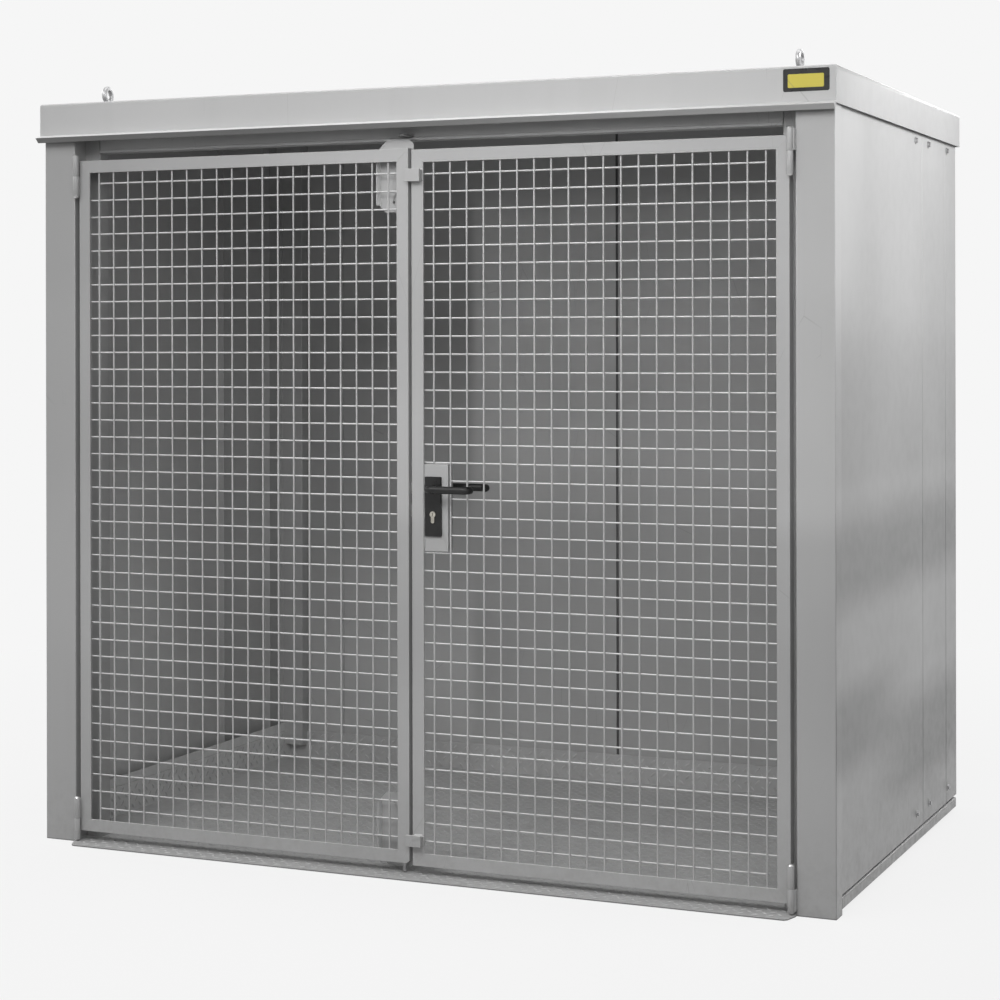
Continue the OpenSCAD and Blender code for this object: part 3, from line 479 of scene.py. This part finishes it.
sheet_arris = 0.0008
dress(roof_coat, 0.0012, "roof_tray")
dress(post_coat, sheet_arris, "front_post_left", "front_post_right", "jamb_left", "jamb_right")
dress(header_lit_coat, sheet_arris, "header_rail")
dress(keep_shade_coat, sheet_arris, "bolt_keep")
dress(wall_coat, sheet_arris, "rear_post_left", "rear_post_right", "wall_left_front",
      "wall_left_rear", "wall_right_front", "wall_right_rear")
dress(inside_coat, sheet_arris, "back_panel_left", "back_panel_middle", "back_panel_right")
dress(rail_coat, sheet_arris, "base_rail_left", "base_rail_right", "base_rail_rear")


# Floor: a steel tear plate with raised tread marks, coated with the rest of the cage, rubbed
# and dusty where bottles are rolled over it. Painted shade darkens its lowest edge along the
# ground and the floor towards the back, it is lighter on the sill's lip, and painted light
# brightens the folded edge by the left wall.
plate_coat = coated_steel("plate_coat", color=(0.55, 0.55, 0.55), Gloss_Roughness=0.45,
                          Dust=0.2, Dust_Height=0.4, Scratches=0.4)
shade_region(plate_coat, 0.45, at("Z", 0.0038, 0.0025))
shade_region(plate_coat, 1.25, facing("Z", 0.5, 0.9), at("Y", -0.71, -0.68))
shade_region(plate_coat, 1.45, facing("X", 0.5, 0.9))
shade_region(plate_coat, 0.86, facing("Z", 0.5, 0.9), at("Y", 0.0, 0.6))
dress(plate_coat, sheet_arris, "floor_plate")
front_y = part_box("front_post_right")[0].y
floor_top = 0.005


def new_piece(name, body, points, triangles, material):
    """A smooth piece from an array of points in metres and an array of point numbers by
    threes. It rides on the body named."""
    mesh = bpy.data.meshes.new(name)
    mesh.from_pydata(points, [], triangles)
    mesh.polygons.foreach_set("use_smooth", np.ones(len(triangles), dtype=bool))
    mesh.materials.append(material)
    piece = bpy.data.objects.new(name, mesh)
    bpy.context.scene.collection.objects.link(piece)
    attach(piece, body)
    return piece


# Tread marks of the tear plate: lens-shaped ridges rolled into the steel, each turned a
# quarter against the next row. They cover the sill, where a lighter copy of their coat paints
# highlights on them, the floor and its folded-up edges, and leave the shoot bolt's hole free.
tread_length = 0.026
tread_width = 0.009
tread_rise = 0.0015
tread_pitch = 0.020
tread_seat = 0.0002


def tread_mark():
    """One mark on the plane z = 0, pointing along x. For u along and v across, both from -1 to
    1, a point is half the length times u, half the width times v (1 - u^2), and the rise times
    (1 - u^2)(1 - v^2). Points 0 to 14 are three rows of five across, 15 and 16 are the two
    ends, and a flat base closes the mark below."""
    u = np.array([-0.55, 0.0, 0.55])[:, None]
    v = np.linspace(-1, 1, 5)[None, :]
    x = tread_length / 2 * u + 0 * v
    y = tread_width / 2 * v * (1 - u ** 2)
    z = tread_rise * (1 - u ** 2) * (1 - v ** 2)
    points = np.stack([x, y, z], axis=-1).reshape(-1, 3)
    ends = np.array([[-tread_length / 2, 0, 0], [tread_length / 2, 0, 0]])
    first = (np.arange(2)[:, None] * 5 + np.arange(4)[None, :]).ravel()
    quads = np.stack([first, first + 5, first + 6, first + 1], axis=1)
    row = np.arange(4)
    caps = np.concatenate([
        np.stack([np.full(4, 15), row, row + 1], axis=1),
        np.stack([np.full(4, 16), row + 11, row + 10], axis=1),
    ])
    rim = np.array([0, 5, 10, 16, 14, 9, 4])  # from one end round to the other
    base = np.stack([np.full(6, 15), rim[1:], rim[:-1]], axis=1)
    triangles = np.concatenate([quads[:, [0, 1, 2]], quads[:, [0, 2, 3]], caps, base])
    return np.concatenate([points, ends]), triangles


def tread_field(low, high, holes=()):
    """Centres and turns of the marks in a rectangle: rows one pitch apart, marks two pitches
    apart in a row, every other row set over by a pitch and turned the other way. Each hole, a
    place and a radius, stays free of marks."""
    across = np.arange(math.ceil(low[0] / tread_pitch), math.floor(high[0] / tread_pitch) + 1)
    along = np.arange(math.ceil(low[1] / tread_pitch), math.floor(high[1] / tread_pitch) + 1)
    i, j = (grid.ravel() for grid in np.meshgrid(across, along))
    keep = (i + j) % 2 == 0
    centres = tread_pitch * np.stack([i, j], axis=1)
    for x, y, radius in holes:
        keep &= np.hypot(centres[:, 0] - x, centres[:, 1] - y) > radius
    turns = np.where(j % 2 == 0, math.pi / 4, -math.pi / 4)
    return centres[keep], turns[keep]


def tread_plate(name, origin, first_axis, second_axis, centres, turns, coat):
    """All marks of one flat face: each mark turned in the plane of the two axes, moved to its
    centre and set a little way into the plate."""
    points, triangles = tread_mark()
    first, second = np.array(first_axis), np.array(second_axis)
    outward = np.cross(first, second)
    turned_x = np.cos(turns)[:, None] * points[:, 0] - np.sin(turns)[:, None] * points[:, 1]
    turned_y = np.sin(turns)[:, None] * points[:, 0] + np.cos(turns)[:, None] * points[:, 1]
    placed = (np.array(origin) + (turned_x + centres[:, :1])[..., None] * first
              + (turned_y + centres[:, 1:])[..., None] * second
              + (points[:, 2] - tread_seat)[None, :, None] * outward)
    numbers = triangles + len(points) * np.arange(len(centres))[:, None, None]
    new_piece(name, "cage", placed.reshape(-1, 3), numbers.reshape(-1, 3), coat)


tread_coat = coated_steel("tread_coat", color=(0.60, 0.60, 0.60), Gloss_Roughness=0.34,
                          Dust=0.15, Scratches=0.5, shine=0.6)
# Painted highlight: the sill's marks get a lighter copy of the tread coat, held back across the
# middle and right of the sill.
sill_tread_highlight = coated_steel("sill_tread_highlight", color=(0.80, 0.80, 0.80), Gloss_Roughness=0.25,
                          Dust=0.1, shine=0.8)
shade_region(sill_tread_highlight, 0.88, at("X", -0.7, 0.0), at("X", 1.0, 0.8))
rod_hole = (-0.029, 0.022, 0.024)
rear_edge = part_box("floor_plate")[1].y - floor_top
side_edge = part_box("floor_plate")[1].x - floor_top
for tread_name, tread_origin, tread_axes, tread_area, tread_skin in (
    ("sill_treads", (0, front_y, floor_top), ((1, 0, 0), (0, 1, 0)),
     ((-1.065, -0.045), (1.075, 0.045), [rod_hole]), sill_tread_highlight),
    ("floor_treads", (0, front_y, floor_top), ((1, 0, 0), (0, 1, 0)),
     ((-1.03, 0.055), (1.03, 1.445)), tread_coat),
    ("rear_edge_treads", (0, rear_edge, 0), ((1, 0, 0), (0, 0, 1)),
     ((-1.08, 0.015), (1.08, 0.085)), tread_coat),
    ("right_edge_treads", (side_edge, front_y, 0), ((0, 1, 0), (0, 0, -1)),
     ((0.125, -0.085), (1.42, -0.015)), tread_coat),
    ("left_edge_treads", (-side_edge, front_y, 0), ((0, 1, 0), (0, 0, 1)),
     ((0.125, 0.015), (1.42, 0.085)), tread_coat),
):
    tread_plate(tread_name, tread_origin, *tread_axes, *tread_field(*tread_area), tread_skin)


# Door leaves: mitred 36 mm angle with welded 5 mm mesh, coated after welding. The frames
# and tabs have rounded rolled edges; wires stay round.
leaf_coat = coated_steel("leaf_coat", Gloss_Roughness=0.36, Streaks=0.04, Dust=0.35)
# Painted light and shade on the leaves: faces that look up get a painted highlight; the right leaf
# is painted darker in a band below its middle and a little darker at the top, and the left leaf
# darker high up towards its hinges.
shade_region(leaf_coat, 1.6, facing("Z", 0.3, 0.8))
shade_region(leaf_coat, 0.88, at("X", -0.6, -0.1), at("Z", 1.04, 0.94), at("Z", 0.3, 0.7))
shade_region(leaf_coat, 0.88, at("X", -0.3, -0.9), at("Z", 0.8, 1.3))
shade_region(leaf_coat, 0.94, at("X", -0.1, 0.1), at("Z", 1.4, 1.8))
guard_coat = coated_steel("guard_coat", Gloss_Roughness=0.4, Streaks=0.04, Dust=0.0)
# Painted light: faces of the bolt guards and guides that look right are painted lighter, where they
# stand in shade behind the mesh.
shade_region(guard_coat, 1.8, facing("X", 0.3, 0.8))
wire_coat = coated_steel("wire_coat", color=(0.54, 0.54, 0.54), Gloss_Roughness=0.38,
                         Streaks=0.05, Orange_Peel=0.6, Dust=0.1, shine=0.5)
# Painted highlight: the upper sides of the wires are painted lighter.
shade_region(wire_coat, 1.8, facing("Z", 0.1, 0.7))
for leaf_side in ("left_", "right_"):
    for member in ("free_stile", "hinge_stile", "top_rail", "bottom_rail"):
        dress(leaf_coat, 0.0010, leaf_side + member)
    dress(wire_coat, 0, leaf_side + "mesh")
    dress(leaf_coat, sheet_arris, leaf_side + "knuckles")
dress(leaf_coat, sheet_arris, "post_knuckles", "stop_tabs", "lock_box")
dress(guard_coat, sheet_arris, "bolt_guards", "bolt_guides")


# Weld beads: laid by hand before coating, with the small ripples of the moving pool. They
# hold the hinge webs, the stop tabs, the lock box, the corners of the leaves, the sill and the
# eye pads.
ripple = 0.003


def weld_bead(start, end, size):
    """Rings about a straight line: at length s the radius is size times (0.8 + 0.2 |sin(pi s /
    ripple)|) times the root of 1 - t^8, where t runs from -1 to 1 along the bead, so both ends
    close to a point."""
    start, end = np.array(start, float), np.array(end, float)
    length = np.linalg.norm(end - start)
    along = (end - start) / length
    side = np.cross(along, np.eye(3)[np.argmin(np.abs(along))])
    side /= np.linalg.norm(side)
    rings, around = max(8, round(3 * length / ripple)), 8
    t = np.linspace(-1, 1, rings + 2)[1:-1]
    s = (t + 1) / 2 * length
    radius = size * (0.8 + 0.2 * np.abs(np.sin(math.pi * s / ripple))) * np.sqrt(1 - t ** 8)
    angle = np.arange(around) * 2 * math.pi / around
    spoke = (np.cos(angle)[:, None] * side + np.sin(angle)[:, None] * np.cross(along, side))
    points = start + s[:, None, None] * along + radius[:, None, None] * spoke
    points = np.concatenate([points.reshape(-1, 3), [start, end]])
    here = np.arange(around)
    after = (here + 1) % around
    row = around * np.arange(rings - 1)[:, None]
    a, b, c, d = row + here, row + after, row + around + after, row + around + here
    last = around * (rings - 1)
    triangles = np.concatenate([
        np.stack([a, b, c], axis=-1).reshape(-1, 3),
        np.stack([a, c, d], axis=-1).reshape(-1, 3),
        np.stack([np.full(around, len(points) - 2), after, here], axis=-1),
        np.stack([np.full(around, len(points) - 1), last + here, last + after], axis=-1),
    ])
    return points, triangles


def weld_set(name, body, beads):
    """One piece from several beads, each given by start, end and size."""
    made = [weld_bead(*bead) for bead in beads]
    offsets = np.cumsum([0] + [len(points) for points, _ in made[:-1]])
    new_piece(name, body, np.concatenate([points for points, _ in made]),
              np.concatenate([faces + offset for (_, faces), offset in zip(made, offsets)]),
              leaf_coat)


def run_x(x0, x1, y, z, size):
    """A bead along x, its y measured from the front of the posts."""
    return (x0, front_y + y, z), (x1, front_y + y, z), size


def run_y(x, y0, y1, z, size):
    """A bead along y, measured from the front of the posts."""
    return (x, front_y + y0, z), (x, front_y + y1, z), size


def run_z(x, y, z0, z1, size):
    """An upright bead, its y measured from the front of the posts."""
    return (x, front_y + y, z0), (x, front_y + y, z1), size


# On the cage: the hinge webs along the posts, and the ends of the sill.
post_edge = 1.1003
post_webs = ((0.0145, 0.0695), (1.9765, 2.0315))
web_bead = 0.0020
post_beads = []
for hand in (-1, 1):
    for web_z in post_webs:
        post_beads.append(run_z(hand * post_edge, 0.0005, *web_z, web_bead))
    post_beads.append(run_y(hand * (post_edge - 0.0008), 0.003, 0.056, floor_top, 0.0028))
weld_set("post_welds", "cage", post_beads)

# On each leaf: the hinge webs, a bead round each corner's edge and one along its mitre.
leaf_width = 1.079
leaf_height = 1.986
leg = 0.036
mid_gap = 0.005
mitre_end = 0.002
leaf_edge = 1.0837
leaf_webs = ((0.0745, 0.1295), (1.9165, 1.9715))
for hand, body, foot in ((1, "right_leaf", 0.030), (-1, "left_leaf", 0.034)):
    leaf_beads = []
    for web_z in leaf_webs:
        leaf_beads.append(run_z(hand * leaf_edge, 0.0005, *web_z, web_bead))
    for corner_u in (0, leaf_width):
        for corner_z in (foot, foot + leaf_height):
            if hand < 0 and corner_u == 0 and corner_z == foot:
                continue  # bare at the bottom shoot bolt
            corner_x = mid_gap + corner_u
            leaf_beads.append(run_y(hand * corner_x, mitre_end, leg - mitre_end, corner_z, 0.0012))
            inward_x = leg - mitre_end if corner_u == 0 else mitre_end - leg
            inward_z = leg - mitre_end if corner_z == foot else mitre_end - leg
            outer_end = (hand * (corner_x + inward_x * 0.05), front_y + 0.0006,
                         corner_z + inward_z * 0.05)
            inner_end = (hand * (corner_x + inward_x), front_y + 0.0006, corner_z + inward_z)
            leaf_beads.append((outer_end, inner_end, 0.0011))
    weld_set(body + "_welds", body, leaf_beads)

# On the right leaf: three sides of each stop tab, and short runs beside the lock box.
tab_beads = []
for low, high in ((0.089, 0.114), (1.930, 1.959)):
    for end_z in (low, high):
        tab_beads.append(run_x(0.010, 0.038, -0.0005, end_z, 0.0045))
    tab_beads.append(run_z(0.0390, -0.0005, low, high, 0.0024))
for box_z in (0.910, 0.990, 1.085):
    tab_beads.append(run_z(0.0415, 0.0050, box_z, box_z + 0.030, 0.0022))
weld_set("tab_welds", "right_leaf", tab_beads)

# On the roof: round each eye's pad, and along both sides of the eye itself.
roof_z = 2.192
pad_top = 2.201
eye_beads = []
for pad_x in (-1.074, 1.074):
    for pad_y in (0.140, 1.350):
        for edge in (-1, 1):
            eye_beads.append(run_y(pad_x + edge * 0.022, pad_y - 0.024, pad_y + 0.024,
                                   roof_z, 0.0035))
            eye_beads.append(run_x(pad_x - 0.016, pad_x + 0.016, pad_y + edge * 0.030,
                                   roof_z, 0.0035))
            eye_beads.append(run_y(pad_x + edge * 0.007, pad_y - 0.014, pad_y + 0.014,
                                   pad_top, 0.0025))
weld_set("eye_welds", "cage", eye_beads)


# Bright and zinc-plated steel: hinge caps and pins, lifting eyes, wall bolts, shoot bolts and
# the inner parts of the lock. Turned or plated, with fine brush lines and dull spots.
def bare_steel(name, color, rough, brush, spots):
    """Metal with fine lines across its length, a cloudy dullness and a shallow bump."""
    material = bpy.data.materials.new(name)
    material.use_nodes = True
    nodes, links = material.node_tree.nodes, material.node_tree.links
    skin = nodes["Principled BSDF"]
    skin.inputs["Metallic"].default_value = 0.9
    place = nodes.new("ShaderNodeTexCoord")
    stretch = nodes.new("ShaderNodeMapping")
    stretch.inputs["Scale"].default_value = (1, 1, 14)
    lines = nodes.new("ShaderNodeTexNoise")
    lines.inputs["Scale"].default_value = 160
    clouds = nodes.new("ShaderNodeTexNoise")
    clouds.inputs["Scale"].default_value = 55
    clouds.inputs["Detail"].default_value = 5
    links.new(place.outputs["Object"], stretch.inputs["Vector"])
    links.new(stretch.outputs[0], lines.inputs["Vector"])
    links.new(place.outputs["Object"], clouds.inputs["Vector"])
    shade = nodes.new("ShaderNodeMapRange")
    for number, amount in enumerate((0.3, 0.7, 1 - spots, 1 + spots * 0.4), start=1):
        shade.inputs[number].default_value = amount
    links.new(clouds.outputs["Fac"], shade.inputs[0])
    tint = nodes.new("ShaderNodeHueSaturation")
    tint.inputs["Color"].default_value = (*color, 1)
    links.new(shade.outputs[0], tint.inputs["Value"])
    links.new(tint.outputs[0], skin.inputs["Base Color"])
    dull = nodes.new("ShaderNodeMapRange")
    for number, amount in enumerate((0.3, 0.7, rough - 0.06, rough + 0.12), start=1):
        dull.inputs[number].default_value = amount
    links.new(clouds.outputs["Fac"], dull.inputs[0])
    links.new(dull.outputs[0], skin.inputs["Roughness"])
    bump = nodes.new("ShaderNodeBump")
    bump.inputs["Distance"].default_value = brush
    links.new(lines.outputs["Fac"], bump.inputs["Height"])
    links.new(bump.outputs[0], skin.inputs["Normal"])
    return material


bright_steel = bare_steel("bright_steel", (0.62, 0.62, 0.615), 0.30, 0.00003, 0.10)
zinc_plate = bare_steel("zinc_plate", (0.44, 0.44, 0.445), 0.33, 0.00005, 0.30)
dress(bright_steel, 0, "hinge_pins", "right_knuckle_caps", "left_knuckle_caps")
dress(bright_steel, 0.0005, "follower", "spindle", "latch_bolt", "dead_bolt")
dress(zinc_plate, 0.0005, "lifting_eyes", "wall_bolts", "top_bolt", "bottom_bolt", "lock_case")


# Lock furniture: moulded black plates and levers over a steel core, and a nickel-tinted
# brass cylinder with its turning plug.
def moulded_black(name, rough):
    """Black plastic with a fine spark-eroded grain and slightly polished patches."""
    material = bpy.data.materials.new(name)
    material.use_nodes = True
    nodes, links = material.node_tree.nodes, material.node_tree.links
    skin = nodes["Principled BSDF"]
    skin.inputs["Specular IOR Level"].default_value = 0.38
    place = nodes.new("ShaderNodeTexCoord")
    grain = nodes.new("ShaderNodeTexNoise")
    grain.inputs["Scale"].default_value = 2200
    patches = nodes.new("ShaderNodeTexNoise")
    patches.inputs["Scale"].default_value = 34
    patches.inputs["Detail"].default_value = 4
    for texture in (grain, patches):
        links.new(place.outputs["Object"], texture.inputs["Vector"])
    tone = nodes.new("ShaderNodeMapRange")
    for number, amount in enumerate((0.35, 0.7, 0.004, 0.012), start=1):
        tone.inputs[number].default_value = amount
    links.new(patches.outputs["Fac"], tone.inputs[0])
    shade = nodes.new("ShaderNodeCombineColor")
    for channel in range(3):
        links.new(tone.outputs[0], shade.inputs[channel])
    links.new(shade.outputs[0], skin.inputs["Base Color"])
    polish = nodes.new("ShaderNodeMapRange")
    for number, amount in enumerate((0.35, 0.7, rough - 0.10, rough + 0.08), start=1):
        polish.inputs[number].default_value = amount
    links.new(patches.outputs["Fac"], polish.inputs[0])
    links.new(polish.outputs[0], skin.inputs["Roughness"])
    bump = nodes.new("ShaderNodeBump")
    bump.inputs["Distance"].default_value = 0.00006
    links.new(grain.outputs["Fac"], bump.inputs["Height"])
    links.new(bump.outputs[0], skin.inputs["Normal"])
    return material


black_grip = moulded_black("black_grip", 0.36)
dress(black_grip, 0.0008, "outer_plate", "inner_plate")
dress(black_grip, 0, "outer_lever", "inner_lever")
lock_brass = bare_steel("lock_brass", (0.46, 0.44, 0.39), 0.32, 0.00003, 0.20)
dress(lock_brass, 0.0003, "cylinder_body", "cylinder_plug")


# Badge plate: a thin black anodised plate with rounded corners, stuck to the right end of the
# front fascia. It is left bare but for a plain yellow band.
badge_low = (1.0720, 2.1252)
badge_high = (1.1945, 2.1843)
band_low = (1.0847, 2.1350)
band_high = (1.1800, 2.1700)
fascia_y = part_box("roof_tray")[0].y + 0.026


def rounded_plate(name, low, high, corner, front, back, material):
    """A flat plate facing -y: its outline is a rectangle whose corners are quarter circles, and
    the front outline is drawn in by a fifth of the corner for a small chamfer. Three outlines
    one behind the other make it, and a point in the middle closes its front and its back."""
    per_corner = 9
    around = 4 * per_corner
    quarter = np.linspace(0, math.pi / 2, per_corner)
    angle = np.concatenate([quarter + turn * math.pi / 2 for turn in range(4)])
    centres = np.repeat([
        (high[0] - corner, high[1] - corner), (low[0] + corner, high[1] - corner),
        (low[0] + corner, low[1] + corner), (high[0] - corner, low[1] + corner),
    ], per_corner, axis=0)
    circle = np.stack([np.cos(angle), np.sin(angle)], axis=1)
    chamfer = min(0.2 * corner, (back - front) * 0.6)
    outlines = [(corner - chamfer, front), (corner, front + chamfer), (corner, back)]
    layers = [
        np.insert(centres + circle * radius, 1, y, axis=1) for radius, y in outlines
    ]
    middle_x, middle_z = (low[0] + high[0]) / 2, (low[1] + high[1]) / 2
    points = np.concatenate(layers + [[(middle_x, front, middle_z), (middle_x, back, middle_z)]])
    here = np.arange(around)
    after = (here + 1) % around
    front_middle = np.full(around, 3 * around)
    strips = [np.stack([here, after, front_middle], axis=1)]
    for row in (0, around):
        strips.append(np.stack([here + row, here + row + around, after + row + around], axis=1))
        strips.append(np.stack([here + row, after + row + around, after + row], axis=1))
    last = 2 * around
    strips.append(np.stack([after + last, here + last, front_middle + 1], axis=1))
    piece = new_piece(name, "cage", points, np.concatenate(strips), material)
    flat = np.zeros(len(piece.data.polygons), dtype=bool)
    piece.data.polygons.foreach_set("use_smooth", flat)


badge_black = moulded_black("badge_black", 0.34)
band_yellow = coated_steel("band_yellow", color=(0.64, 0.55, 0.085), Gloss_Roughness=0.32,
                           Streaks=0.03, Dust=0.0, Scratches=0.3)
rounded_plate("badge_plate", badge_low, badge_high, 0.005, fascia_y - 0.0012, fascia_y + 0.0002,
              badge_black)
rounded_plate("badge_band", band_low, band_high, 0.003, fascia_y - 0.0015, fascia_y - 0.0010,
              band_yellow)
